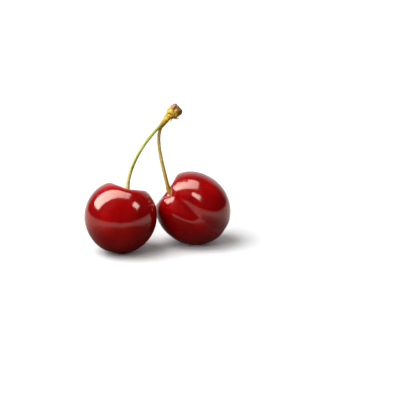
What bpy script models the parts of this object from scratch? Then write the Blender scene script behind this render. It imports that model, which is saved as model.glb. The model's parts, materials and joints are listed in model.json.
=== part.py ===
"""Two sweet cherries on their stalks, picked together on one fruit spur.

The pair stands on its two fruits with the stalks up. Metres, +Z up. The left cherry is at -X, and
the right one is at +X, a little farther back. The origin is on the surface that the fruits rest on,
under the middle of the pair's box.
"""

import math
from dataclasses import dataclass

import bmesh
import bpy
from mathutils import Matrix, Vector
from mathutils.geometry import interpolate_bezier

MM = 0.001
GAP = 0.3 * MM  # air between two pieces that meet
FORWARD = Vector((0, -1, 0))  # the side on which both sutures show


@dataclass
class Fruit:
    """One cherry. Its own frame has +Z out of the stalk cavity and -Y out of the suture side."""

    name: str
    width: float  # across the two shoulders
    thickness: float  # from the suture side to the back
    crown: float  # from the middle up to the crown, before the cavity is sunk in it
    base: float  # from the middle down to the apex
    cavity_depth: float
    cavity_width: float
    groove: float  # how deep the suture lies, as a share of the width there
    notch: float  # how much wider the cavity is where the suture enters it, as a share
    stalk_way: Vector  # where the stalk end points
    suture_way: Vector  # where the suture side faces
    stalk_bend: Vector  # from the stalk's foot to where it clears the cavity
    stalk_rise_way: Vector  # where the stalk heads from there
    top_way: Vector  # how the stalk meets the fork
    top_grip: float  # how far down the stalk keeps that way, as a share of its length


LEFT = Fruit(
    name="left_cherry",
    width=26.8 * MM,
    thickness=24.4 * MM,
    crown=13.6 * MM,
    base=12.8 * MM,
    cavity_depth=5.6 * MM,
    cavity_width=8.4 * MM,
    groove=0.02,
    notch=0.08,
    stalk_way=Vector((0.25, 0.33, 1.0)),
    suture_way=Vector((0.0, -1.0, 0.0)),
    stalk_bend=Vector((0.7, 1.0, 3.6)) * MM,
    stalk_rise_way=Vector((0.1, 0.1, 1.0)),
    top_way=Vector((0.70, 0.06, 0.71)),
    top_grip=0.36,
)
RIGHT = Fruit(
    name="right_cherry",
    width=27.0 * MM,
    thickness=25.2 * MM,
    crown=14.8 * MM,
    base=13.6 * MM,
    cavity_depth=6.2 * MM,
    cavity_width=8.8 * MM,
    groove=0.125,
    notch=0.3,
    stalk_way=Vector((-0.82, 0.13, 0.56)),
    suture_way=Vector((0.0, -1.0, 0.17)),
    stalk_bend=Vector((-2.7, -0.3, 3.2)) * MM,
    stalk_rise_way=Vector((-0.2, -0.1, 1.0)),
    top_way=Vector((0.42, 0.0, 0.91)),
    top_grip=0.24,
)
FRUIT_SPACE = 1.07 * MM  # between the two fruits, along the line through their middles
FRUIT_BEARING = math.radians(20.0)  # of the right cherry from the left one, turned from +X to +Y
REST_DEPTH = 0.2 * MM  # how far the weight of a fruit flattens its underside
FRUIT_SIDES = 40
FRUIT_RINGS = 28

# The shape that all the fruits share
TAPER = 0.07  # how much wider a fruit is towards its crown
SHOULDER = 0.10  # how full its shoulders are
SHOULDER_RISE = 0.4 * MM  # of the two shoulders over the rim between them
SHOULDER_RING = 6.6 * MM  # from the axis to the top of a shoulder
SHOULDER_SPREAD = 3.4 * MM
CAVITY_POWER = 2.4  # over 2 gives the cavity a flatter floor
SUTURE_SPREAD = 0.26  # radians to each side
SUTURE_FADE = 0.6  # from this height down to as far below the middle, the groove gets shallower
SUTURE_LEFT = 0.25  # share of its depth that the groove keeps at the apex
APEX_DENT = 0.5 * MM
APEX_DENT_WIDTH = 2.2 * MM
CROWDING = 0.3  # how much closer the mesh's rings lie towards the cavity

# Stalks
STALK_RADIUS = 0.76 * MM  # above the flared foot
STALK_TOP_RADIUS = 0.58 * MM
FOOT_RADIUS = 1.25 * MM  # of the flared foot in the cavity
FOOT_LENGTH = 3.6 * MM
STALK_SPAN_POINTS = 12
GRIP = 0.33  # the usual length of a curve's handle, as a share of the span
JOINT_SHARE = 0.935  # how far along the line from the left cavity's mouth to the right one's
JOINT_RISE = 23.4 * MM  # of the joint over that line

# The spur: a neck where the two stalks have grown together, and the head that tore off the branch
NECK_WAY = Vector((0.61, 0.06, 0.79)).normalized()
HEAD_WAY = Vector((0.79, 0.06, 0.61)).normalized()
FORK_WAY = Vector((0.51, 0.77, -0.40))  # from the left stalk to the right one
NECK_LENGTH = 5.0 * MM
HEAD_LENGTH = 5.2 * MM
NECK_RADIUS = 1.25 * MM
HEAD_RADIUS = 2.45 * MM
HEAD_END_RADIUS = 1.2 * MM
FORK_FLATNESS = 0.5  # how deep the neck is at the fork, as a share of its width there
GATHER_END = 0.8  # share of the neck over which the two stalks become one round neck
SWELL = 0.24  # how long the neck takes to swell into the head, as a share of the spur's length
HEAD_CROWN_START = 0.71  # where the head starts to round off, as a share of the spur's length
SCAR_DEPTH = 0.45 * MM
LUMP = 0.05  # height of the head's lumps, as a share of its radius
LUMP_START, LUMP_FULL = 0.45, 0.65  # where the lumps begin and are at full height, as such shares
LUMP_WAVES = ((3, 9, 0.0, 1.0), (5, -14, 1.0, 0.6))  # lumps around, twist, phase and height of each
LUMP_ROOM = 1.6 * LUMP  # what all the waves together can add, as a share of the radius
SPUR_SIDES = 20
SPUR_SPAN_POINTS = 9

# Bud scales around the head: how far round it from the front, where they start along it as a share
# of its length, their length, and half their width
SCALE_THICKNESS = 0.3 * MM
SCALE_FLARE = 0.25 * MM  # how far a tip stands off
SCALE_TIP = 0.12  # width of a tip, as a share of the scale's width
SCALE_FULLNESS = 0.7  # under 1 keeps a scale wide for longer before its tip
SCALES = (
    (85, 0.16, 1.7 * MM, 1.05 * MM),
    (300, 0.46, 2.5 * MM, 1.25 * MM),
    (222, 0.52, 2.3 * MM, 1.05 * MM),
    (154, 0.56, 2.2 * MM, 1.05 * MM),
    (30, 0.76, 1.5 * MM, 0.95 * MM),
)
# The green bract lies under the head and points back along the neck
BRACT_TURN = 95
BRACT_START = 0.06
BRACT_LENGTH = 1.6 * MM
BRACT_HALF_WIDTH = 0.6 * MM
BRACT_FLARE = 0.5 * MM


def clear_scene():
    for old in list(bpy.data.objects):
        bpy.data.objects.remove(old, do_unlink=True)


def material(name, color, roughness):
    mat = bpy.data.materials.new(name)
    mat.use_nodes = True
    shader = mat.node_tree.nodes["Principled BSDF"]
    shader.inputs["Base Color"].default_value = (*color, 1.0)
    shader.inputs["Roughness"].default_value = roughness
    shader.inputs["Metallic"].default_value = 0.0
    return mat


def add_object(name, data, mat, pair, collection):
    data.materials.append(mat)
    obj = bpy.data.objects.new(name, data)
    obj.parent = pair
    collection.objects.link(obj)
    return obj


def frame_along(way, side, place=Vector((0, 0, 0))):
    """A frame at place whose +Z runs along way and whose -Y faces side as far as it can."""
    up = way.normalized()
    back = -(side - up * side.dot(up)).normalized()
    across = back.cross(up)
    turn = Matrix((across, back, up)).transposed().to_4x4()
    return Matrix.Translation(place) @ turn


def smooth_path(knots, span_points):
    """Points on a Bezier curve through knots, each a place, a way and how stiffly it is kept."""
    path = [knots[0][0]]
    for (start, way, grip), (end, end_way, end_grip) in zip(knots, knots[1:]):
        span = (end - start).length
        leave = start + way.normalized() * grip * span
        arrive = end - end_way.normalized() * end_grip * span
        path += interpolate_bezier(start, leave, arrive, end, span_points + 1)[1:]
    return path


def shares(path):
    """How far along the path each of its points is, from 0 to 1."""
    run = [0.0]
    for before, after in zip(path, path[1:]):
        run.append(run[-1] + (after - before).length)
    return [length / run[-1] for length in run], run[-1]


def ease(low, high, value):
    """0 below low, 1 above high, and smooth between."""
    share = min(max((value - low) / (high - low), 0.0), 1.0)
    return share * share * (3 - 2 * share)


def skin_point(fruit, polar, turn):
    """The point of the skin at an angle from the stalk's axis, turned from the suture."""
    height = math.cos(polar)
    near_suture = math.exp(-((turn / SUTURE_SPREAD) ** 2))
    left = SUTURE_LEFT + (1 - SUTURE_LEFT) * ease(-SUTURE_FADE, SUTURE_FADE, height)
    depth = fruit.groove * near_suture * left
    reach = math.sin(polar) * (1 + TAPER * height) / (1 + TAPER**2 / 2) * (1 - depth)
    across = fruit.width / 2 * reach * math.sin(turn)
    back = -fruit.thickness / 2 * reach * math.cos(turn)
    ring = math.hypot(across, back)
    if height < 0:
        dent = APEX_DENT * math.exp(-((ring / APEX_DENT_WIDTH) ** 2))
        return Vector((across, back, fruit.base * height + dent))
    up = fruit.crown * height * (1 + SHOULDER * math.sin(polar) ** 2)
    cavity_radius = fruit.cavity_width / 2 * (1 + fruit.notch * near_suture)
    up -= fruit.cavity_depth * math.exp(-((ring / cavity_radius) ** CAVITY_POWER))
    shoulder = math.exp(-(((ring - SHOULDER_RING) / SHOULDER_SPREAD) ** 2))
    up += SHOULDER_RISE * math.sin(turn) ** 2 * shoulder
    return Vector((across, back, up))


def seat_height(fruit, radius):
    """How high the skin of the cavity reaches under a disc of this radius around the axis."""
    polar = math.asin(radius / (fruit.thickness / 2))
    return max(skin_point(fruit, polar, math.radians(turn)).z for turn in range(-180, 180, 15))


def fruit_mesh(fruit):
    """The cherry's mesh, standing on z = 0 over the origin, and the fruit's own frame there."""
    bm = bmesh.new()
    bmesh.ops.create_uvsphere(bm, u_segments=FRUIT_SIDES, v_segments=FRUIT_RINGS, radius=1.0)
    for vert in bm.verts:
        polar = math.acos(max(-1.0, min(1.0, vert.co.z)))
        polar -= CROWDING * math.sin(polar)
        vert.co = skin_point(fruit, polar, math.atan2(vert.co.x, -vert.co.y))
    frame = frame_along(fruit.stalk_way, fruit.suture_way)
    bmesh.ops.transform(bm, matrix=frame, verts=bm.verts)
    stand = Matrix.Translation((0, 0, -min(vert.co.z for vert in bm.verts) - REST_DEPTH))
    bmesh.ops.transform(bm, matrix=stand, verts=bm.verts)
    flatten_underside(bm)
    mesh = bpy.data.meshes.new(fruit.name)
    bm.to_mesh(mesh)
    bm.free()
    mesh.shade_smooth()
    return mesh, stand @ frame


def flatten_underside(bm):
    """Cuts off what is below z = 0 and closes the cut with one flat face."""
    everything = bm.verts[:] + bm.edges[:] + bm.faces[:]
    cut = bmesh.ops.bisect_plane(
        bm, geom=everything, dist=1e-7, plane_co=(0, 0, 0), plane_no=(0, 0, 1), clear_inner=True
    )
    rim = [item for item in cut["geom_cut"] if isinstance(item, bmesh.types.BMEdge)]
    bmesh.ops.contextual_create(bm, geom=rim)
    bmesh.ops.recalc_face_normals(bm, faces=bm.faces)


def reach(mesh, way):
    """How far a mesh reaches from the origin along way."""
    return max(vert.co.dot(way) for vert in mesh.vertices)


def stalk_radius(run):
    """The stalk's radius at a distance from its foot, before it thins towards the joint."""
    return STALK_RADIUS + (FOOT_RADIUS - STALK_RADIUS) * math.exp(-((run / FOOT_LENGTH) ** 2))


def stalk_curve(name, knots):
    path = smooth_path(knots, STALK_SPAN_POINTS)
    along, length = shares(path)
    curve = bpy.data.curves.new(name, "CURVE")
    curve.dimensions = "3D"
    curve.bevel_depth = 1.0
    curve.bevel_resolution = 2
    curve.use_fill_caps = True
    spline = curve.splines.new("POLY")
    spline.points.add(len(path) - 1)
    for point, place, share in zip(spline.points, path, along):
        thinning = (STALK_RADIUS - STALK_TOP_RADIUS) * share
        point.co = (*place, 1.0)
        point.radius = stalk_radius(share * length) - thinning
    return curve


def spur_half_sizes(share):
    """Half the spur's width along the fork, and across it, at a share of its length."""
    fork_half = STALK_TOP_RADIUS * 2 + GAP / 2
    fork_depth = fork_half * FORK_FLATNESS
    neck_share = NECK_LENGTH / (NECK_LENGTH + HEAD_LENGTH)
    gather = ease(0.0, neck_share * GATHER_END, share)
    wide = fork_half + (NECK_RADIUS - fork_half) * gather
    deep = fork_depth + (NECK_RADIUS - fork_depth) * gather
    swell = ease(neck_share * GATHER_END, neck_share + SWELL, share)
    closing = min(max((share - HEAD_CROWN_START) / (1 - HEAD_CROWN_START), 0.0), 1.0)
    head = HEAD_END_RADIUS + (HEAD_RADIUS - HEAD_END_RADIUS) * math.sqrt(1 - closing**2)
    return wide + (head - wide) * swell, deep + (head - deep) * swell


def head_lump(share, turn):
    """How much the head's lumps change its radius, as a factor."""
    wave = sum(
        height * math.sin(around * turn + twist * share + phase)
        for around, twist, phase, height in LUMP_WAVES
    )
    return 1 + LUMP * wave * ease(LUMP_START, LUMP_FULL, share)


def spur_frames(joint):
    """Frames along the spur's middle line, with -Y forward, and how far along each one is."""
    head_start = joint + NECK_WAY * NECK_LENGTH
    tip = head_start + HEAD_WAY * HEAD_LENGTH
    bend_way = (NECK_WAY + HEAD_WAY).normalized()
    knots = ((joint, NECK_WAY, GRIP), (head_start, bend_way, GRIP), (tip, HEAD_WAY, GRIP))
    path = smooth_path(knots, SPUR_SPAN_POINTS)
    along, length = shares(path)
    ways = [after - before for before, after in zip([path[0], *path], [*path[1:], path[-1]])]
    ways[0], ways[-1] = NECK_WAY, HEAD_WAY
    return [frame_along(way, FORWARD, place) for way, place in zip(ways, path)], along


def spur_point(frame, share, turn, fork_turn):
    """A point of the spur's skin, turned around its middle line from the front."""
    wide, deep = spur_half_sizes(share)
    from_fork = turn - fork_turn
    oval = wide * deep / math.hypot(deep * math.cos(from_fork), wide * math.sin(from_fork))
    radius = oval * head_lump(share, turn)
    return frame @ Vector((radius * math.sin(turn), -radius * math.cos(turn), 0))


def spur_mesh(joint):
    """The neck and head as one loft from an oval section at the fork to the round torn end."""
    frames, along = spur_frames(joint)
    fork = frames[0].to_3x3().inverted() @ FORK_WAY
    fork_turn = math.atan2(fork.x, -fork.y)
    bm = bmesh.new()
    rings = []
    for frame, share in zip(frames, along):
        turns = [2 * math.pi * side / SPUR_SIDES for side in range(SPUR_SIDES)]
        points = [spur_point(frame, share, turn, fork_turn) for turn in turns]
        rings.append([bm.verts.new(point) for point in points])
    scar = bm.verts.new(frames[-1] @ Vector((0, 0, -SCAR_DEPTH)))
    for side in range(SPUR_SIDES):
        after = (side + 1) % SPUR_SIDES
        for low, high in zip(rings, rings[1:]):
            bm.faces.new((low[side], low[after], high[after], high[side]))
        bm.faces.new((rings[-1][side], rings[-1][after], scar))
    bm.faces.new(list(reversed(rings[0])))
    bmesh.ops.recalc_face_normals(bm, faces=bm.faces)
    mesh = bpy.data.meshes.new("spur")
    bm.to_mesh(mesh)
    bm.free()
    mesh.shade_smooth()
    return mesh


def scale_mesh(name, joint, turn, start, length, half_width, flare):
    """A pointed scale that lies around the spur. A negative length points it back to the fork."""
    frames, along = spur_frames(joint)
    spur_length = NECK_LENGTH + HEAD_LENGTH
    first = (NECK_LENGTH + start * HEAD_LENGTH) / spur_length
    bm = bmesh.new()
    bmesh.ops.create_grid(bm, x_segments=6, y_segments=6, size=1.0)
    for vert in bm.verts:
        run = (vert.co.y + 1) / 2
        share = first + run * length / spur_length
        wide, deep = spur_half_sizes(min(share, 1.0))
        inner = max(wide, deep) * (1 + LUMP_ROOM) + GAP
        radius = inner + flare * run**2
        outline = math.cos(run * math.pi / 2) ** SCALE_FULLNESS
        spread = half_width / inner * (SCALE_TIP + (1 - SCALE_TIP) * outline)
        angle = math.radians(turn) + spread * vert.co.x * (1 if length > 0 else -1)
        middle = min(range(len(along)), key=lambda index: abs(along[index] - share))
        frame = frames[middle]
        rise = (share - along[middle]) * spur_length
        vert.co = frame @ Vector((radius * math.sin(angle), -radius * math.cos(angle), rise))
    mesh = bpy.data.meshes.new(name)
    bm.to_mesh(mesh)
    bm.free()
    mesh.shade_smooth()
    return mesh


def add_scale(name, mesh, mat, pair, collection):
    scale = add_object(name, mesh, mat, pair, collection)
    shell = scale.modifiers.new("thickness", "SOLIDIFY")
    shell.thickness = SCALE_THICKNESS
    shell.offset = 1.0
    return scale


def stalk_knots(fruit, fruit_frame, seat):
    """The knots of a stalk, from its foot in the cavity to its top at its seat on the fork."""
    foot = fruit_frame @ Vector((0, 0, seat_height(fruit, FOOT_RADIUS) + GAP))
    clearance = GAP + STALK_TOP_RADIUS * math.sin(fruit.top_way.angle(NECK_WAY))
    return (
        (foot, fruit.stalk_way, GRIP),
        (foot + fruit.stalk_bend, fruit.stalk_rise_way, GRIP),
        (seat - NECK_WAY * clearance, fruit.top_way, fruit.top_grip),
    )


def rest_on_origin(pair, collection):
    """Moves the pair so that the middle of its box is over the origin."""
    bpy.context.view_layer.update()
    corners = [
        obj.matrix_world @ Vector(corner) for obj in collection.objects for corner in obj.bound_box
    ]
    for axis in (0, 1):
        ends = [corner[axis] for corner in corners]
        pair.location[axis] = -(min(ends) + max(ends)) / 2


def build():
    clear_scene()
    collection = bpy.data.collections.new("cherry_pair")
    bpy.context.scene.collection.children.link(collection)
    pair = bpy.data.objects.new("pair", None)
    bpy.context.scene.collection.objects.link(pair)

    skin = material("cherry_skin", (0.30, 0.004, 0.004), 0.12)
    green = material("stalk_green", (0.42, 0.40, 0.10), 0.5)
    bark = material("spur_bark", (0.62, 0.42, 0.12), 0.6)
    brown = material("scale_brown", (0.16, 0.07, 0.03), 0.65)
    leaf = material("bract_green", (0.20, 0.27, 0.07), 0.5)

    left_mesh, left_frame = fruit_mesh(LEFT)
    right_mesh, right_frame = fruit_mesh(RIGHT)
    bearing = Vector((math.cos(FRUIT_BEARING), math.sin(FRUIT_BEARING), 0))
    spacing = reach(left_mesh, bearing) + FRUIT_SPACE + reach(right_mesh, -bearing)
    aside = Matrix.Translation(bearing * spacing)
    right_mesh.transform(aside)
    right_frame = aside @ right_frame
    add_object(LEFT.name, left_mesh, skin, pair, collection)
    add_object(RIGHT.name, right_mesh, skin, pair, collection)

    left_mouth = left_frame @ Vector((0, 0, LEFT.crown))
    right_mouth = right_frame @ Vector((0, 0, RIGHT.crown))
    joint = left_mouth.lerp(right_mouth, JOINT_SHARE) + Vector((0, 0, JOINT_RISE))
    fork_way = (FORK_WAY - NECK_WAY * FORK_WAY.dot(NECK_WAY)).normalized()
    half_fork = fork_way * (STALK_TOP_RADIUS + GAP / 2)
    for name, fruit, fruit_frame, shift in (
        ("left_stalk", LEFT, left_frame, -half_fork),
        ("right_stalk", RIGHT, right_frame, half_fork),
    ):
        knots = stalk_knots(fruit, fruit_frame, joint + shift)
        add_object(name, stalk_curve(name, knots), green, pair, collection)

    add_object("spur", spur_mesh(joint), bark, pair, collection)
    for number, (turn, start, length, half_width) in enumerate(SCALES, 1):
        name = f"bud_scale_{number}"
        mesh = scale_mesh(name, joint, turn, start, length, half_width, SCALE_FLARE)
        add_scale(name, mesh, brown, pair, collection)
    mesh = scale_mesh(
        "bract", joint, BRACT_TURN, BRACT_START, -BRACT_LENGTH, BRACT_HALF_WIDTH, BRACT_FLARE
    )
    add_scale("bract", mesh, leaf, pair, collection)
    rest_on_origin(pair, collection)


build()
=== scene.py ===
"""The looks of two sweet cherries on their stalks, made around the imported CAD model.

Metres, +Z up, in the part's own frame. Each fine piece stands for one CAD node: it follows that
node's formulas with many more points, and adds the detail that the CAD leaves out.
"""

import json
import math
from dataclasses import dataclass

import bmesh
import bpy
from mathutils import Matrix, Vector, noise
from mathutils.geometry import interpolate_bezier

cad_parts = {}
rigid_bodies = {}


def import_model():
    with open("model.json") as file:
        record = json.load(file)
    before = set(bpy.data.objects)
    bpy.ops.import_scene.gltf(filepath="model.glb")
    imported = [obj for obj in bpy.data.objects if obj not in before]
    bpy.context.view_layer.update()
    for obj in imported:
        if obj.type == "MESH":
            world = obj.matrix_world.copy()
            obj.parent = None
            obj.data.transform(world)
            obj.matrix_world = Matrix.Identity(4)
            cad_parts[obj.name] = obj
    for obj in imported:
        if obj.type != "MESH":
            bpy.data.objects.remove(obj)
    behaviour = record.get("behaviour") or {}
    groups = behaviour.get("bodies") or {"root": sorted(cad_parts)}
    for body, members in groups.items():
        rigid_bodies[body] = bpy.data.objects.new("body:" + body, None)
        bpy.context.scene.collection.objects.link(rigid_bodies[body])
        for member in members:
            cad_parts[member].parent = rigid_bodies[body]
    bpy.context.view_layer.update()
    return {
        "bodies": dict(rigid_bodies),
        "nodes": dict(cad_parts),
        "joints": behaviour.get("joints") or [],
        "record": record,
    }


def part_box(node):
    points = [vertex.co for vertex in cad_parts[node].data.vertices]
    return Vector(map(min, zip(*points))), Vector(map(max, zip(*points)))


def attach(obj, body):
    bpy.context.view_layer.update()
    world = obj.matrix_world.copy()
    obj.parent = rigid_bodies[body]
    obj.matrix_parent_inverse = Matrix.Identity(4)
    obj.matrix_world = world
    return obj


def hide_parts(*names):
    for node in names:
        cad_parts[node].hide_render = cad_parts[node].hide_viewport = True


MM = 0.001
GAP = 0.3 * MM  # air that the CAD keeps between two pieces that meet
FORWARD = Vector((0, -1, 0))  # the side on which both sutures show


@dataclass
class Fruit:
    """One cherry, as in the CAD.

    Its own frame has +Z out of the cavity and -Y out of the suture.
    """

    name: str
    width: float
    thickness: float
    crown: float
    base: float
    cavity_depth: float
    cavity_width: float
    groove: float
    notch: float
    stalk_way: Vector
    suture_way: Vector
    stalk_bend: Vector
    stalk_rise_way: Vector
    top_way: Vector
    top_grip: float
    seed: float  # sets this fruit's own dimples


LEFT = Fruit(
    name="left_cherry",
    width=26.8 * MM,
    thickness=24.4 * MM,
    crown=13.6 * MM,
    base=12.8 * MM,
    cavity_depth=5.6 * MM,
    cavity_width=8.4 * MM,
    groove=0.02,
    notch=0.08,
    stalk_way=Vector((0.25, 0.33, 1.0)),
    suture_way=Vector((0.0, -1.0, 0.0)),
    stalk_bend=Vector((0.7, 1.0, 3.6)) * MM,
    stalk_rise_way=Vector((0.1, 0.1, 1.0)),
    top_way=Vector((0.70, 0.06, 0.71)),
    top_grip=0.36,
    seed=3.0,
)
RIGHT = Fruit(
    name="right_cherry",
    width=27.0 * MM,
    thickness=25.2 * MM,
    crown=14.8 * MM,
    base=13.6 * MM,
    cavity_depth=6.2 * MM,
    cavity_width=8.8 * MM,
    groove=0.125,
    notch=0.3,
    stalk_way=Vector((-0.82, 0.13, 0.56)),
    suture_way=Vector((0.0, -1.0, 0.17)),
    stalk_bend=Vector((-2.7, -0.3, 3.2)) * MM,
    stalk_rise_way=Vector((-0.2, -0.1, 1.0)),
    top_way=Vector((0.42, 0.0, 0.91)),
    top_grip=0.24,
    seed=11.0,
)

# The fruits' shape, as in the CAD
REST_DEPTH = 0.2 * MM
TAPER = 0.07
SHOULDER = 0.10
SHOULDER_RISE = 0.4 * MM
SHOULDER_RING = 6.6 * MM
SHOULDER_SPREAD = 3.4 * MM
CAVITY_POWER = 2.4
SUTURE_SPREAD = 0.26
SUTURE_FADE = 0.6
SUTURE_LEFT = 0.25
APEX_DENT = 0.5 * MM
APEX_DENT_WIDTH = 2.2 * MM
CROWDING = 0.3

# The fruits' fine surface
FRUIT_SIDES = 224
FRUIT_RINGS = 160
DIMPLES = ((11.0 * MM, 0.10 * MM), (4.5 * MM, 0.022 * MM))  # size and depth of each kind
SUTURE_LINE = 0.035 * MM  # depth of the fine line along the suture
SUTURE_LINE_SPREAD = 0.022  # radians to each side
SUTURE_TINT_SPREAD = 0.10  # radians to each side that the darker band along it takes
APEX_MARK_RADIUS = 0.55 * MM  # of the dry dot where the flower sat

# Stalks and joint, as in the CAD
STALK_RADIUS = 0.76 * MM
STALK_TOP_RADIUS = 0.58 * MM
FOOT_RADIUS = 1.25 * MM
FOOT_LENGTH = 3.6 * MM
GRIP = 0.33
JOINT_SHARE = 0.935
JOINT_RISE = 23.4 * MM

# The stalks' fine surface
STALK_SPAN_POINTS = 70
STALK_SIDES = 40
STALK_ROOT = 0.9 * MM  # how far a stalk runs on into the fruit
STALK_HEAD = 1.3 * MM  # how far a stalk runs on into the neck
RIBS = ((3, 0.045, 5.0), (7, 0.02, -8.0))  # ribs round a stalk, their height and their twist
STALK_BUMPS = ((1.3 * MM, 0.035 * MM), (4.0 * MM, 0.06 * MM))  # size and height of each kind

# The spur, as in the CAD
NECK_WAY = Vector((0.61, 0.06, 0.79)).normalized()
HEAD_WAY = Vector((0.79, 0.06, 0.61)).normalized()
FORK_WAY = Vector((0.51, 0.77, -0.40))
NECK_LENGTH = 5.0 * MM
HEAD_LENGTH = 5.2 * MM
NECK_RADIUS = 1.25 * MM
HEAD_RADIUS = 2.45 * MM
HEAD_END_RADIUS = 1.2 * MM
FORK_FLATNESS = 0.5
GATHER_END = 0.8
SWELL = 0.24
HEAD_CROWN_START = 0.71
SCAR_DEPTH = 0.45 * MM
LUMP = 0.05
LUMP_START, LUMP_FULL = 0.45, 0.65
LUMP_WAVES = ((3, 9, 0.0, 1.0), (5, -14, 1.0, 0.6))

# The spur's fine surface
SPUR_SIDES = 96
SPUR_SPAN_POINTS = 60
SCAR_RINGS = 12
KNOBS = ((1.2 * MM, 0.36 * MM), (0.5 * MM, 0.12 * MM))  # size and height of the bark's knobs
KNOB_SEED = 5.0
NECK_KNOBS = 0.3  # how knobby the neck is, as a share of the head
KNOBS_START, KNOBS_FULL = 0.35, 0.6  # between these shares of the spur its knobs grow
COLLAR_OVERLAP = 0.9 * MM  # how far the neck's skin runs down over the two stalks
COLLAR_WIDTH = 0.72  # of its lower edge, as a share of the neck's start
COLLAR_KNOBS = 0.5  # how knobby it is, as a share of the neck's start
SCAR_KNOBS = 1.2  # how knobby the torn end is, as a share of the head
SCAR_RIDGE = 0.10 * MM  # height of the uneven rings on the torn end
SCAR_RIDGE_STEP = 7  # radians between one ring's height and the next one's
SCAR_END = 1.5  # what the attribute "along" reaches in the middle of the torn end

# Bud scales, as in the CAD: turn, start, length and half width, and then each one's own tint
SCALE_FLARE = 0.25 * MM
SCALE_TIP = 0.12
SCALE_FULLNESS = 0.7
SCALES = (
    (85, 0.16, 1.7 * MM, 1.05 * MM, "dark"),
    (300, 0.46, 2.5 * MM, 1.25 * MM, "pink"),
    (222, 0.52, 2.3 * MM, 1.05 * MM, "brown"),
    (154, 0.56, 2.2 * MM, 1.05 * MM, "brown"),
    (30, 0.76, 1.5 * MM, 0.95 * MM, "russet"),
)
SCALE_THICKNESS = 0.12 * MM
SCALE_SEAT = 0.28 * MM  # from the head to the middle of a scale
SCALE_SINK = 0.5 * MM  # how much lower a scale's root lies, in the bark
SCALE_ROOT = 0.35  # share of its length over which it comes out of the bark
SCALE_RIB = 0.035 * MM
SCALE_RIB_WAVES = 9
SCALE_RIB_FADE = 0.6  # share of the ribs' height that is lost towards the tip
SCALE_CUP = 0.10 * MM  # how far the sides curl out at the tip
SCALE_RAGGED = ((0.5 * MM, 0.07 * MM),)  # size and height of its unevenness
SCALE_GRID = 28
BRACT = (95, 0.06, -1.6 * MM, 0.6 * MM)
BRACT_FLARE = 0.5 * MM

# The camera
AIM = Vector((15.6, -3.3, 19.3)) * MM
CAMERA_DISTANCE = 493.8 * MM
CAMERA_ELEVATION = math.radians(17.0)
LENS = 120.0
SENSOR = 36.0
CLIP_START = 10 * MM

# The studio
LIT_PLACE = Vector((0, 0, 15 * MM))  # what the lights face
FLOOR_RADIUS = 1.0
CARD_RADIUS = 4.0
# The card's painted shade, which only the skin's reflections show
CARD_DARKEST = Vector((0, -30, 0)) * MM
CARD_DARK, CARD_PALE = 22.0 * MM, 85.0 * MM  # how far from there it is darkest and palest
WARM = (1.0, 0.92, 0.80)  # the tint of the lights that the skin mirrors


# Shapes that the CAD has too


def frame_along(way, side, place=Vector((0, 0, 0))):
    """A frame at place whose +Z runs along way and whose -Y faces side as far as it can."""
    up = way.normalized()
    back = -(side - up * side.dot(up)).normalized()
    across = back.cross(up)
    turn = Matrix((across, back, up)).transposed().to_4x4()
    return Matrix.Translation(place) @ turn


def smooth_path(knots, span_points):
    """Points on a Bezier curve through knots, each a place, a way and how stiffly it is kept."""
    path = [knots[0][0]]
    for (start, way, grip), (end, end_way, end_grip) in zip(knots, knots[1:]):
        span = (end - start).length
        leave = start + way.normalized() * grip * span
        arrive = end - end_way.normalized() * end_grip * span
        path += interpolate_bezier(start, leave, arrive, end, span_points + 1)[1:]
    return path


def shares(path):
    """How far along the path each of its points is, from 0 to 1, and the path's length."""
    run = [0.0]
    for before, after in zip(path, path[1:]):
        run.append(run[-1] + (after - before).length)
    return [length / run[-1] for length in run], run[-1]


def ease(low, high, value):
    """0 below low, 1 above high, and smooth between."""
    share = min(max((value - low) / (high - low), 0.0), 1.0)
    return share * share * (3 - 2 * share)


def skin_point(fruit, polar, turn):
    """The point of the skin at an angle from the stalk's axis, turned from the suture."""
    height = math.cos(polar)
    near_suture = math.exp(-((turn / SUTURE_SPREAD) ** 2))
    left = SUTURE_LEFT + (1 - SUTURE_LEFT) * ease(-SUTURE_FADE, SUTURE_FADE, height)
    depth = fruit.groove * near_suture * left
    reach = math.sin(polar) * (1 + TAPER * height) / (1 + TAPER**2 / 2) * (1 - depth)
    across = fruit.width / 2 * reach * math.sin(turn)
    back = -fruit.thickness / 2 * reach * math.cos(turn)
    ring = math.hypot(across, back)
    if height < 0:
        dent = APEX_DENT * math.exp(-((ring / APEX_DENT_WIDTH) ** 2))
        return Vector((across, back, fruit.base * height + dent))
    up = fruit.crown * height * (1 + SHOULDER * math.sin(polar) ** 2)
    cavity_radius = fruit.cavity_width / 2 * (1 + fruit.notch * near_suture)
    up -= fruit.cavity_depth * math.exp(-((ring / cavity_radius) ** CAVITY_POWER))
    shoulder = math.exp(-(((ring - SHOULDER_RING) / SHOULDER_SPREAD) ** 2))
    up += SHOULDER_RISE * math.sin(turn) ** 2 * shoulder
    return Vector((across, back, up))


def seat_height(fruit, radius):
    """How high the skin of the cavity reaches under a disc of this radius around the axis."""
    polar = math.asin(radius / (fruit.thickness / 2))
    return max(skin_point(fruit, polar, math.radians(turn)).z for turn in range(-180, 180, 15))


def stalk_radius(run):
    """The stalk's radius at a distance from its foot, before it thins towards the joint."""
    return STALK_RADIUS + (FOOT_RADIUS - STALK_RADIUS) * math.exp(-((run / FOOT_LENGTH) ** 2))


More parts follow.
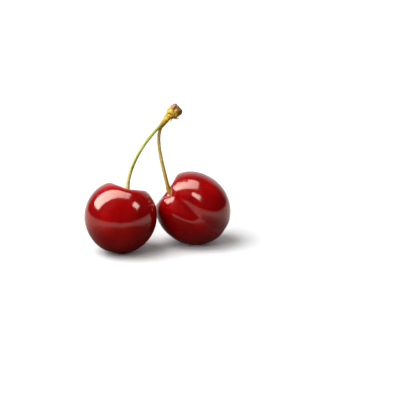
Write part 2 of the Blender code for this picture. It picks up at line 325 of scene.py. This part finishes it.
def spur_half_sizes(share):
    """Half the spur's width along the fork, and across it, at a share of its length."""
    fork_half = STALK_TOP_RADIUS * 2 + GAP / 2
    fork_depth = fork_half * FORK_FLATNESS
    neck_share = NECK_LENGTH / (NECK_LENGTH + HEAD_LENGTH)
    gather = ease(0.0, neck_share * GATHER_END, share)
    wide = fork_half + (NECK_RADIUS - fork_half) * gather
    deep = fork_depth + (NECK_RADIUS - fork_depth) * gather
    swell = ease(neck_share * GATHER_END, neck_share + SWELL, share)
    closing = min(max((share - HEAD_CROWN_START) / (1 - HEAD_CROWN_START), 0.0), 1.0)
    head = HEAD_END_RADIUS + (HEAD_RADIUS - HEAD_END_RADIUS) * math.sqrt(1 - closing**2)
    return wide + (head - wide) * swell, deep + (head - deep) * swell


def head_lump(share, turn):
    """How much the head's lumps change its radius, as a factor."""
    wave = sum(
        height * math.sin(around * turn + twist * share + phase)
        for around, twist, phase, height in LUMP_WAVES
    )
    return 1 + LUMP * wave * ease(LUMP_START, LUMP_FULL, share)


def spur_frames(joint):
    """Frames along the spur's middle line, with -Y forward, and how far along each one is."""
    head_start = joint + NECK_WAY * NECK_LENGTH
    tip = head_start + HEAD_WAY * HEAD_LENGTH
    bend_way = (NECK_WAY + HEAD_WAY).normalized()
    knots = ((joint, NECK_WAY, GRIP), (head_start, bend_way, GRIP), (tip, HEAD_WAY, GRIP))
    path = smooth_path(knots, SPUR_SPAN_POINTS)
    along, _ = shares(path)
    ways = [after - before for before, after in zip([path[0], *path], [*path[1:], path[-1]])]
    ways[0], ways[-1] = NECK_WAY, HEAD_WAY
    return [frame_along(way, FORWARD, place) for way, place in zip(ways, path)], along


# Meshes


def finished_mesh(name, bm, values=None):
    """A smooth mesh object from bm. values holds one list of numbers for each named attribute."""
    bmesh.ops.recalc_face_normals(bm, faces=bm.faces)
    mesh = bpy.data.meshes.new(name)
    bm.to_mesh(mesh)
    bm.free()
    mesh.shade_smooth()
    for attribute, numbers in (values or {}).items():
        layer = mesh.attributes.new(attribute, "FLOAT", "POINT")
        layer.data.foreach_set("value", numbers)
    piece = bpy.data.objects.new(name, mesh)
    bpy.context.scene.collection.objects.link(piece)
    return piece


def uneven(place, sizes, seed):
    """A smooth random height at a place, from several sizes of unevenness."""
    shift = Vector((seed, -seed, 2 * seed))
    return sum(height * noise.noise(place / size + shift) for size, height in sizes)


def fine_skin_point(fruit, polar, turn):
    """The skin's point with its dimples and its suture line."""
    place = skin_point(fruit, polar, turn)
    outward = place.normalized()
    line = math.exp(-((turn / SUTURE_LINE_SPREAD) ** 2)) * math.sin(polar)
    return place + outward * (uneven(place, DIMPLES, fruit.seed) - SUTURE_LINE * line)


def fruit_marks(fruit, polar, turn):
    """How much a point of the skin lies in the cavity, along the suture, and at the apex."""
    ring = math.sin(polar) * fruit.width / 2
    upper = ease(-0.1, 0.1, math.cos(polar))
    cavity = upper * math.exp(-((ring / (fruit.cavity_width / 2)) ** 4))
    suture = math.exp(-((turn / SUTURE_TINT_SPREAD) ** 2)) * math.sin(polar) ** 0.5
    apex = (1 - upper) * math.exp(-((ring / APEX_MARK_RADIUS) ** 4))
    return cavity, suture, apex


def fruit_piece(fruit, skin):
    """The fine cherry in the box of its CAD node, and the fruit's own frame there."""
    bm = bmesh.new()
    bmesh.ops.create_uvsphere(bm, u_segments=FRUIT_SIDES, v_segments=FRUIT_RINGS, radius=1.0)
    marks = []
    for vert in bm.verts:
        polar = math.acos(max(-1.0, min(1.0, vert.co.z)))
        polar -= CROWDING * math.sin(polar)
        turn = math.atan2(vert.co.x, -vert.co.y)
        vert.co = fine_skin_point(fruit, polar, turn)
        marks.append(fruit_marks(fruit, polar, turn))
    frame = frame_along(fruit.stalk_way, fruit.suture_way)
    bmesh.ops.transform(bm, matrix=frame, verts=bm.verts)
    low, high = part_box(fruit.name)
    ends = [[pick(vert.co[axis] for vert in bm.verts) for axis in range(3)] for pick in (min, max)]
    middle = [(a + b) / 2 for a, b in zip(*ends)]
    rise = low.z - ends[0][2] - REST_DEPTH
    shift = Vector(((low.x + high.x) / 2 - middle[0], (low.y + high.y) / 2 - middle[1], rise))
    for vert in bm.verts:
        vert.co = vert.co + shift
        vert.co = [min(max(vert.co[axis], low[axis]), high[axis]) for axis in range(3)]
    cavity, suture, apex = zip(*marks)
    values = {"cavity": cavity, "suture": suture, "apex": apex}
    piece = finished_mesh(fruit.name + "_skin", bm, values)
    piece.data.materials.append(skin)
    return piece, Matrix.Translation(shift) @ frame


def carried_frames(path):
    """Frames along a path that turn no more than the path does."""
    way = (path[1] - path[0]).normalized()
    frame = frame_along(way, FORWARD).to_3x3()
    frames = []
    for before, place, after in zip([path[0], *path], path, [*path[1:], path[-1]]):
        next_way = (after - before).normalized()
        frame = way.rotation_difference(next_way).to_matrix() @ frame
        way = next_way
        frames.append(Matrix.Translation(place) @ frame.to_4x4())
    return frames


def loft(bm, rings):
    """Joins rings of points into a tube with a fan at each end."""
    made = [[bm.verts.new(point) for point in ring] for ring in rings]
    count = len(made[0])
    for low, high in zip(made, made[1:]):
        for side in range(count):
            after = (side + 1) % count
            bm.faces.new((low[side], low[after], high[after], high[side]))
    for ring in (made[0], made[-1]):
        middle = bm.verts.new(sum((vert.co for vert in ring), Vector()) / count)
        for side in range(count):
            bm.faces.new((ring[side], ring[(side + 1) % count], middle))


def stalk_piece(name, fruit, fruit_frame, seat, skin):
    """A ribbed stalk from inside the cavity's floor to inside the neck."""
    foot = fruit_frame @ Vector((0, 0, seat_height(fruit, FOOT_RADIUS) + GAP))
    clearance = GAP + STALK_TOP_RADIUS * math.sin(fruit.top_way.angle(NECK_WAY))
    knots = (
        (foot, fruit.stalk_way, GRIP),
        (foot + fruit.stalk_bend, fruit.stalk_rise_way, GRIP),
        (seat - NECK_WAY * clearance, fruit.top_way, fruit.top_grip),
    )
    path = smooth_path(knots, STALK_SPAN_POINTS)
    root = path[0] - fruit.stalk_way.normalized() * STALK_ROOT
    head = path[-1] + (fruit.top_way.normalized() + NECK_WAY).normalized() * STALK_HEAD
    path = [root, *path, head]
    along, length = shares(path)
    bm = bmesh.new()
    rings, values, flanks = [], [], []
    for frame, share in zip(carried_frames(path), along):
        run = max(share * length - STALK_ROOT, 0.0)
        plain = stalk_radius(run) - (STALK_RADIUS - STALK_TOP_RADIUS) * share
        ring = []
        for side in range(STALK_SIDES):
            turn = 2 * math.pi * side / STALK_SIDES
            rib = sum(tall * math.cos(count * turn + twist * share) for count, tall, twist in RIBS)
            local = Vector((math.sin(turn), -math.cos(turn), 0))
            place = frame @ (local * plain)
            bumpy = uneven(place, STALK_BUMPS, fruit.seed)
            ring.append(frame @ (local * (plain * (1 + rib) + bumpy)))
            # flank runs from 0 on the -X side to 1 on the +X side, where the painted shade goes.
            flanks.append(0.5 + 0.5 * (frame.to_3x3() @ local).x)
        rings.append(ring)
        values += [share] * STALK_SIDES
    loft(bm, rings)
    marks = {"along": [*values, 0.0, 1.0], "flank": [*flanks, 0.5, 0.5]}
    piece = finished_mesh(name + "_skin", bm, marks)
    piece.data.materials.append(skin)
    return piece


def spur_piece(joint, bark):
    """The neck and the knobby head, with a collar over the stalks and a rough torn end."""
    frames, along = spur_frames(joint)
    fork = frames[0].to_3x3().inverted() @ FORK_WAY
    fork_turn = math.atan2(fork.x, -fork.y)
    collar = frames[0] @ Matrix.Translation((0, 0, -COLLAR_OVERLAP))
    rings, values = [], []
    turns = [2 * math.pi * side / SPUR_SIDES for side in range(SPUR_SIDES)]

    def add_ring(frame, share, inward=1.0, sink=0.0, rough=1.0):
        """Adds the ring of the bark's points at a share of the spur's length."""
        wide, deep = spur_half_sizes(max(share, 0.0))
        grown = NECK_KNOBS + (1 - NECK_KNOBS) * ease(KNOBS_START, KNOBS_FULL, share)
        ring = []
        for turn in turns:
            from_fork = turn - fork_turn
            oval = wide * deep / math.hypot(deep * math.cos(from_fork), wide * math.sin(from_fork))
            radius = oval * head_lump(share, turn) * inward
            out = Vector((math.sin(turn), -math.cos(turn), 0))
            place = frame @ (out * radius)
            knobby = uneven(place, KNOBS, KNOB_SEED) * rough * grown
            ring.append(frame @ (out * (radius + knobby * inward) - Vector((0, 0, sink))))
        rings.append(ring)
        values.extend([share] * SPUR_SIDES)

    add_ring(collar, 0.0, COLLAR_WIDTH, 0.0, COLLAR_KNOBS)
    for frame, share in zip(frames, along):
        add_ring(frame, share)
    for step in range(1, SCAR_RINGS):
        inward = 1 - step / SCAR_RINGS
        ridge = SCAR_RIDGE * math.sin(SCAR_RIDGE_STEP * step) * (1 - inward)
        sink = SCAR_DEPTH * math.sqrt(1 - inward) + ridge
        add_ring(frames[-1], 1.0, inward, sink, SCAR_KNOBS)
        values[-SPUR_SIDES:] = [1.0 + (SCAR_END - 1.0) * (1 - inward)] * SPUR_SIDES
    bm = bmesh.new()
    loft(bm, rings)
    piece = finished_mesh("spur_bark", bm, {"along": [*values, 0.0, SCAR_END]})
    piece.data.materials.append(bark)
    return piece


def scale_piece(name, joint, turn, start, length, half_width, flare, skin):
    """A thin pointed scale round the spur, ribbed and curled at its tip."""
    frames, along = spur_frames(joint)
    spur_length = NECK_LENGTH + HEAD_LENGTH
    first = (NECK_LENGTH + start * HEAD_LENGTH) / spur_length
    bm = bmesh.new()
    bmesh.ops.create_grid(bm, x_segments=SCALE_GRID, y_segments=SCALE_GRID, size=1.0)
    runs, sides = [], []
    for vert in bm.verts:
        side, run = vert.co.x, (vert.co.y + 1) / 2
        share = first + run * length / spur_length
        wide, deep = spur_half_sizes(min(share, 1.0))
        inner = max(wide, deep) + SCALE_SEAT - SCALE_SINK * (1 - ease(0.0, SCALE_ROOT, run))
        outline = math.cos(run * math.pi / 2) ** SCALE_FULLNESS
        spread = half_width / inner * (SCALE_TIP + (1 - SCALE_TIP) * outline)
        rib = SCALE_RIB * math.cos(SCALE_RIB_WAVES * side) * (1 - SCALE_RIB_FADE * run)
        curl = flare * run**2 + SCALE_CUP * side**2 * run
        ragged = uneven(Vector((side, run, turn)) * MM, SCALE_RAGGED, turn)
        radius = inner + curl + rib + ragged
        angle = math.radians(turn) + spread * side * (1 if length > 0 else -1)
        middle = min(range(len(along)), key=lambda index: abs(along[index] - share))
        rise = (share - along[middle]) * spur_length + ragged * run
        place = Vector((radius * math.sin(angle), -radius * math.cos(angle), rise))
        vert.co = frames[middle] @ place
        runs.append(run)
        sides.append(side)
    piece = finished_mesh(name + "_skin", bm, {"along": runs, "side": sides})
    piece.data.materials.append(skin)
    shell = piece.modifiers.new("thickness", "SOLIDIFY")
    shell.thickness = SCALE_THICKNESS
    shell.offset = 0.0
    return piece


# Materials


def join(tree, value, socket):
    """Sets a socket to a number or colour, or links another socket to it."""
    if isinstance(value, bpy.types.NodeSocket):
        tree.links.new(value, socket)
    else:
        socket.default_value = (*value, 1.0) if isinstance(value, tuple) else value


def fade(tree, value, low, high, to_low=0.0, to_high=1.0):
    """A smooth change from one number to another while value goes from low to high."""
    node = tree.nodes.new("ShaderNodeMapRange")
    node.interpolation_type = "SMOOTHSTEP"
    if low > high:
        low, high, to_low, to_high = high, low, to_high, to_low
    join(tree, value, node.inputs["Value"])
    ends = {"From Min": low, "From Max": high, "To Min": to_low, "To Max": to_high}
    for socket, end in ends.items():
        node.inputs[socket].default_value = end
    return node.outputs["Result"]


class Look:
    """A material with one Principled shader, and short calls for the nodes that feed it."""

    def __init__(self, name, **settings):
        self.material = bpy.data.materials.new(name)
        self.material.use_nodes = True
        self.tree = self.material.node_tree
        self.shader = self.tree.nodes["Principled BSDF"]
        for socket, value in settings.items():
            self.shader.inputs[socket.replace("_", " ")].default_value = value
        self.places = self.tree.nodes.new("ShaderNodeTexCoord").outputs["Object"]

    def join(self, value, socket):
        join(self.tree, value, socket)

    def noise(self, size, detail=3.0, roughness=0.5):
        """Noise from 0 to 1 whose lumps are about this size."""
        node = self.tree.nodes.new("ShaderNodeTexNoise")
        node.inputs["Scale"].default_value = 1 / size
        node.inputs["Detail"].default_value = detail
        node.inputs["Roughness"].default_value = roughness
        self.tree.links.new(self.places, node.inputs["Vector"])
        return node.outputs["Fac"]

    def spots(self, size, radius, edge):
        """1 in small round spots and 0 between them."""
        node = self.tree.nodes.new("ShaderNodeTexVoronoi")
        node.inputs["Scale"].default_value = 1 / size
        self.tree.links.new(self.places, node.inputs["Vector"])
        return self.fade(node.outputs["Distance"], radius + edge, radius)

    def mark(self, name):
        """The mesh's own attribute."""
        node = self.tree.nodes.new("ShaderNodeAttribute")
        node.attribute_name = name
        return node.outputs["Fac"]

    def fade(self, value, low, high, to_low=0.0, to_high=1.0):
        return fade(self.tree, value, low, high, to_low, to_high)

    def calc(self, operation, a, b):
        """What one Math node makes of a and b."""
        node = self.tree.nodes.new("ShaderNodeMath")
        node.operation = operation
        self.join(a, node.inputs[0])
        self.join(b, node.inputs[1])
        return node.outputs["Value"]

    def plus(self, a, b):
        return self.calc("ADD", a, b)

    def times(self, a, b):
        return self.calc("MULTIPLY", a, b)

    def swing(self, value, width):
        """A value from 0 to 1 made to swing round 0, over this width."""
        return self.times(self.calc("SUBTRACT", value, 0.5), width)

    def blend(self, share, low, high):
        """A colour between low and high."""
        node = self.tree.nodes.new("ShaderNodeMix")
        node.data_type = "RGBA"
        self.join(share, node.inputs["Factor"])
        self.join(low, node.inputs[6])
        self.join(high, node.inputs[7])
        return node.outputs[2]

    def ramp(self, value, *stops):
        """A colour that follows stops, each a place and a colour."""
        node = self.tree.nodes.new("ShaderNodeValToRGB")
        band = node.color_ramp
        while len(band.elements) < len(stops):
            band.elements.new(0.5)
        for element, (place, color) in zip(band.elements, stops):
            element.position = place
            element.color = (*color, 1.0)
        self.join(value, node.inputs["Fac"])
        return node.outputs["Color"]

    def bump(self, *layers):
        """Bumps from layers, each a height socket and how deep it is in metres."""
        normal = None
        for height, depth in layers:
            node = self.tree.nodes.new("ShaderNodeBump")
            node.inputs["Strength"].default_value = 1.0
            node.inputs["Distance"].default_value = depth
            self.join(height, node.inputs["Height"])
            if normal:
                self.join(normal, node.inputs["Normal"])
            normal = node.outputs["Normal"]
        self.join(normal, self.shader.inputs["Normal"])

    def finish(self, color, roughness):
        """The material, with its colour and roughness set or linked."""
        self.join(color, self.shader.inputs["Base Color"])
        self.join(roughness, self.shader.inputs["Roughness"])
        return self.material


def cherry_skin():
    """Deep red skin with patches and streaks, painted shade and wax in the cavity, dark along the
    suture.
    """
    look = Look(
        "cherry_skin",
        IOR=1.46,
        Subsurface_Weight=0.2,
        Subsurface_Radius=(1.0, 0.12, 0.08),
        Subsurface_Scale=2.0 * MM,
        Coat_Weight=0.25,
        Coat_Roughness=0.08,
    )
    patches = look.fade(look.noise(9.0 * MM, 2.0), 0.35, 0.68)
    color = look.blend(patches, (0.28, 0.0004, 0.001), (0.40, 0.0006, 0.0012))
    streaks = look.fade(look.noise(1.4 * MM, 6.0, 0.65), 0.52, 0.75, 0.0, 0.45)
    color = look.blend(streaks, color, (0.24, 0.0003, 0.001))
    specks = look.spots(1.3 * MM, 0.05, 0.06)
    color = look.blend(look.times(specks, 0.15), color, (0.60, 0.03, 0.02))
    color = look.blend(look.times(look.mark("suture"), 0.25), color, (0.16, 0.0, 0.002))
    # Painted shade: the skin is darkened in the cavity, where shade falls.
    color = look.blend(look.times(look.mark("cavity"), 0.6), color, (0.13, 0.002, 0.003))
    color = look.blend(look.mark("apex"), color, (0.10, 0.03, 0.015))
    wax = look.fade(look.noise(3.0 * MM, 4.0), 0.3, 0.7, 0.10, 0.16)
    wax = look.plus(wax, look.times(look.mark("cavity"), 0.35))
    look.bump((look.noise(2.2 * MM, 2.0), 0.012 * MM), (specks, 0.004 * MM))
    return look.finish(color, wax)


def stalk_skin(name, foot, low, middle, top, shade):
    """A stalk whose colour runs from its foot to its top, pale on one side, with painted shade
    opposite.
    """
    look = Look(name, IOR=1.45, Subsurface_Weight=0.1, Subsurface_Scale=0.6 * MM)
    along = look.mark("along")
    wander = look.swing(look.noise(4.0 * MM), 0.22)
    place = look.plus(along, wander)
    color = look.ramp(place, (0.04, foot), (0.24, low), (0.55, middle), (0.90, top))
    patchy = look.swing(look.noise(1.6 * MM, 4.0), 0.9)
    # Painted shade: the +X side darkens towards the shade colour, less so at the foot.
    painted_shade_side = look.fade(look.plus(look.mark("flank"), patchy), 0.48, 0.86, 0.0, 0.85)
    painted_shade_side = look.times(painted_shade_side, look.fade(along, 0.04, 0.3, 0.35, 1.0))
    color = look.blend(painted_shade_side, color, shade)
    mottle = look.fade(look.noise(0.6 * MM, 4.0, 0.6), 0.48, 0.7, 0.0, 0.35)
    color = look.blend(mottle, color, tuple(0.45 * part for part in middle))
    pores = look.spots(0.9 * MM, 0.10, 0.08)
    color = look.blend(look.times(pores, 0.6), color, (0.24, 0.12, 0.03))
    look.bump((look.noise(0.5 * MM, 3.0), 0.05 * MM), (pores, 0.03 * MM))
    return look.finish(color, look.fade(mottle, 0.0, 0.35, 0.36, 0.5))


def spur_bark():
    """Yellow bark with raised knobs, painted shade between them and dark cracks, brown to black on
    the torn end.
    """
    look = Look("spur_bark", IOR=1.45, Specular_IOR_Level=0.3)
    along = look.mark("along")
    wander = look.swing(look.noise(1.3 * MM, 4.0), 0.34)
    place = look.plus(look.times(along, 1 / SCAR_END), wander)
    color = look.ramp(
        place,
        (0.02, (0.60, 0.38, 0.03)),
        (0.18, (0.86, 0.46, 0.03)),
        (0.32, (0.98, 0.66, 0.05)),
        (0.48, (0.86, 0.54, 0.04)),
        (0.58, (0.34, 0.11, 0.02)),
        (0.66, (0.06, 0.02, 0.012)),
    )
    knobs = look.noise(0.8 * MM, 2.0, 0.55)
    raised = look.fade(knobs, 0.50, 0.60, 0.0, 0.55)
    color = look.blend(raised, color, (1.0, 0.72, 0.12))
    # Painted shade: the hollows between the bumped knobs are darkened.
    shaded_hollows = look.fade(knobs, 0.46, 0.36, 0.0, 0.75)
    color = look.blend(shaded_hollows, color, (0.26, 0.09, 0.015))
    cracks = look.fade(look.noise(0.5 * MM, 5.0, 0.7), 0.55, 0.66, 0.0, 0.6)
    color = look.blend(cracks, color, (0.16, 0.05, 0.012))
    look.bump((knobs, 0.45 * MM), (look.noise(0.3 * MM, 5.0, 0.7), 0.10 * MM))
    return look.finish(color, look.fade(cracks, 0.0, 0.7, 0.5, 0.75))


def scale_skin(name, root, tip):
    """A dry bud scale whose colour runs from its root to its tip."""
    look = Look(name, IOR=1.45)
    fibre = look.fade(look.noise(0.3 * MM, 4.0, 0.65), 0.35, 0.7)
    color = look.blend(look.mark("along"), root, tip)
    color = look.blend(look.times(fibre, 0.5), color, tuple(0.4 * part for part in tip))
    look.bump((fibre, 0.05 * MM))
    return look.finish(color, look.fade(fibre, 0.0, 1.0, 0.45, 0.7))


def floor_paint():
    """Nearly even off-white."""
    look = Look("floor", Specular_IOR_Level=0.0)
    grain = look.noise(30.0 * MM)
    return look.finish(look.blend(grain, (0.86, 0.86, 0.86), (0.88, 0.88, 0.88)), 0.9)


def card_paint():
    """Painted shade for the skin to mirror: dark in front of the part and pale farther off."""
    look = Look("dark_card", Specular_IOR_Level=0.0)
    away = look.tree.nodes.new("ShaderNodeVectorMath")
    away.operation = "DISTANCE"
    look.join(look.places, away.inputs[0])
    away.inputs[1].default_value = CARD_DARKEST
    # Painted shade: darkest around CARD_DARKEST, in front of the part.
    shade = look.fade(away.outputs["Value"], CARD_DARK, CARD_PALE)
    return look.finish(look.blend(shade, (0.07, 0.06, 0.05), (0.74, 0.68, 0.60)), 0.9)


# The scene round the part


def add_floor():
    """A white floor for the camera, and a darker card in its place, with painted shade, for the
    skin to mirror.
    """
    for name, radius, paint, seen in (
        ("floor", FLOOR_RADIUS, floor_paint(), True),
        ("dark_card", CARD_RADIUS, card_paint(), False),
    ):
        bm = bmesh.new()
        bmesh.ops.create_circle(bm, cap_ends=True, segments=96, radius=radius)
        floor = finished_mesh(name, bm)
        floor.data.materials.append(paint)
        floor.visible_camera = seen
        floor.visible_glossy = not seen
        floor.visible_diffuse = False
        floor.visible_shadow = False


def add_camera():
    """The camera in front of the part, looking a little down at AIM."""
    view = Vector((0, math.cos(CAMERA_ELEVATION), -math.sin(CAMERA_ELEVATION)))
    data = bpy.data.cameras.new("camera")
    data.lens = LENS
    data.sensor_width = SENSOR
    data.clip_start = CLIP_START
    camera = bpy.data.objects.new("camera", data)
    camera.location = AIM - view * CAMERA_DISTANCE
    camera.rotation_euler = (math.pi / 2 - CAMERA_ELEVATION, 0, 0)
    bpy.context.scene.collection.objects.link(camera)
    bpy.context.scene.camera = camera


def add_softbox(
    name, way, distance, size, watts, tint=(1, 1, 1), dim_end=1.0, glossy=True, diffuse=True
):
    """An area light that faces the part from where way points, its first size level along X.

    Along that size its light changes from full to dim_end.
    """
    data = bpy.data.lights.new(name, "AREA")
    data.shape = "RECTANGLE"
    data.size, data.size_y = size
    data.energy = watts
    data.color = tint
    if dim_end < 1.0:
        data.use_nodes = True
        nodes, links = data.node_tree.nodes, data.node_tree.links
        across = nodes.new("ShaderNodeNewGeometry").outputs["Parametric"]
        apart = nodes.new("ShaderNodeSeparateXYZ")
        links.new(across, apart.inputs[0])
        dim = nodes.new("ShaderNodeMapRange")
        dim.inputs["To Min"].default_value = 1.0
        dim.inputs["To Max"].default_value = dim_end
        links.new(apart.outputs["X"], dim.inputs["Value"])
        links.new(dim.outputs["Result"], nodes["Emission"].inputs["Strength"])
    lamp = bpy.data.objects.new(name, data)
    out = Vector(way).normalized()
    across = Vector((0, 1, 0)).cross(out).normalized()
    turn = Matrix((across, out.cross(across), out)).transposed().to_4x4()
    lamp.matrix_world = Matrix.Translation(LIT_PLACE + out * distance) @ turn
    lamp.visible_camera = False
    lamp.visible_glossy = glossy
    lamp.visible_diffuse = diffuse
    bpy.context.scene.collection.objects.link(lamp)


def add_world():
    """White for the camera, soft light mostly from above, and a white back for reflections."""
    world = bpy.data.worlds.new("studio")
    world.use_nodes = True
    bpy.context.scene.world = world
    tree = world.node_tree
    nodes, links = tree.nodes, tree.links

    def choose(share, low, high):
        """low where share is 0, and high where it is 1."""
        node = nodes.new("ShaderNodeMix")
        for socket, value in (("Factor", share), ("A", low), ("B", high)):
            join(tree, value, node.inputs[socket])
        return node.outputs["Result"]

    path = nodes.new("ShaderNodeLightPath").outputs
    places = nodes.new("ShaderNodeTexCoord")
    apart = nodes.new("ShaderNodeSeparateXYZ")
    links.new(places.outputs["Generated"], apart.inputs[0])
    mirrored = fade(tree, apart.outputs["Y"], 0.5, 0.92, 0.012, 0.85)
    soft = fade(tree, apart.outputs["Z"], -0.1, 0.1, 0.05, 0.45)
    lit = choose(path["Is Diffuse Ray"], mirrored, soft)
    links.new(choose(path["Is Camera Ray"], lit, 1.1), nodes["Background"].inputs["Strength"])
    nodes["Background"].inputs["Color"].default_value = (1, 1, 1, 1)


def add_lights():
    """Two lights for the skin's own colour, two that it only mirrors, and the world."""
    add_softbox("key", (-0.50, -0.05, 0.86), 3.2, (2.6, 2.2), 108.0, glossy=False)
    add_softbox("fill", (-0.50, -0.62, 0.60), 1.2, (0.9, 0.6), 5.5, glossy=False)
    add_softbox("arch", (-0.42, 0.02, 0.90), 0.9, (1.7, 0.66), 54.0, WARM, 0.4, diffuse=False)
    add_softbox("window", (0.42, -0.63, 0.65), 0.046, (0.017, 0.014), 0.008, WARM, diffuse=False)
    add_world()
    settings = bpy.context.scene.view_settings
    settings.view_transform = "Standard"
    settings.look = "None"


# The pair


def stand_in(piece, node):
    """The piece takes the place of a CAD node on the part's one body."""
    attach(piece, "root")
    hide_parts(node)


def add_pair():
    """All the fine pieces, each in the place of its CAD node."""
    skin = cherry_skin()
    frames = {}
    for fruit in (LEFT, RIGHT):
        piece, frames[fruit.name] = fruit_piece(fruit, skin)
        stand_in(piece, fruit.name)
    left_mouth = frames[LEFT.name] @ Vector((0, 0, LEFT.crown))
    right_mouth = frames[RIGHT.name] @ Vector((0, 0, RIGHT.crown))
    joint = left_mouth.lerp(right_mouth, JOINT_SHARE) + Vector((0, 0, JOINT_RISE))
    fork_way = (FORK_WAY - NECK_WAY * FORK_WAY.dot(NECK_WAY)).normalized()
    half_fork = fork_way * (STALK_TOP_RADIUS + GAP / 2)
    left_green = stalk_skin(
        "left_stalk_green",
        foot=(0.95, 0.82, 0.42),
        low=(0.84, 0.80, 0.32),
        middle=(0.62, 0.66, 0.12),
        top=(0.40, 0.46, 0.04),
        shade=(0.18, 0.13, 0.03),
    )
    right_green = stalk_skin(
        "right_stalk_green",
        foot=(0.62, 0.36, 0.04),
        low=(0.80, 0.58, 0.08),
        middle=(0.82, 0.70, 0.15),
        top=(0.66, 0.40, 0.08),
        shade=(0.34, 0.16, 0.025),
    )
    left = stalk_piece("left_stalk", LEFT, frames[LEFT.name], joint - half_fork, left_green)
    right = stalk_piece("right_stalk", RIGHT, frames[RIGHT.name], joint + half_fork, right_green)
    stand_in(left, "left_stalk")
    stand_in(right, "right_stalk")
    stand_in(spur_piece(joint, spur_bark()), "spur")
    tints = {
        "dark": scale_skin("dark_scale", (0.20, 0.08, 0.02), (0.04, 0.015, 0.008)),
        "pink": scale_skin("pink_scale", (0.62, 0.30, 0.08), (0.30, 0.10, 0.06)),
        "brown": scale_skin("brown_scale", (0.46, 0.22, 0.05), (0.10, 0.03, 0.015)),
        "russet": scale_skin("russet_scale", (0.40, 0.12, 0.03), (0.08, 0.02, 0.012)),
    }
    for number, (*shape, tint) in enumerate(SCALES, 1):
        name = f"bud_scale_{number}"
        scale = scale_piece(name, joint, *shape, SCALE_FLARE, tints[tint])
        stand_in(scale, name)
    green = scale_skin("bract_green", (0.16, 0.28, 0.04), (0.10, 0.20, 0.03))
    bract = scale_piece("bract", joint, *BRACT, BRACT_FLARE, green)
    stand_in(bract, "bract")


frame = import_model()
add_camera()
add_floor()
add_lights()
add_pair()
